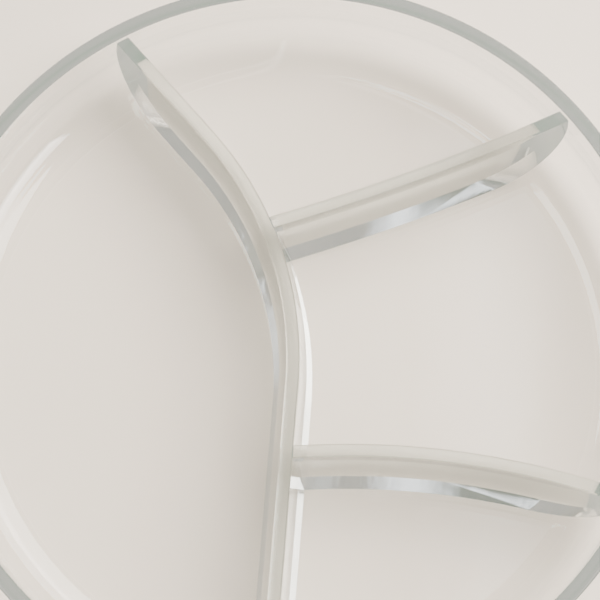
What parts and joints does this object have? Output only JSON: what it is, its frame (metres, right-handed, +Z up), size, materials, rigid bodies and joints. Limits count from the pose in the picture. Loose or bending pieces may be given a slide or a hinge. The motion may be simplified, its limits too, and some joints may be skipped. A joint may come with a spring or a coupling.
{
  "type": "compartment petri dish",
  "caption": "Round clear glass dish with a flat ground rim, divided by curved glass walls into separate compartments.",
  "frame": {"origin": "middle of the dish's underside, on the surface it stands on", "axes": "+Z up along the dish's axis; the two short dividers run towards +X from the long divider, which runs along Y"},
  "size_m": [0.1, 0.1, 0.015],
  "materials": {
    "dish_glass": "clear, fire polished, ground rim",
    "divider_glass": "clear, polished faces, ground top"
  },
  "bodies": {
    "root": {"dish_body": "dish_glass", "long_divider": "divider_glass", "upper_divider": "divider_glass", "lower_divider": "divider_glass"}
  },
  "joints": []
}
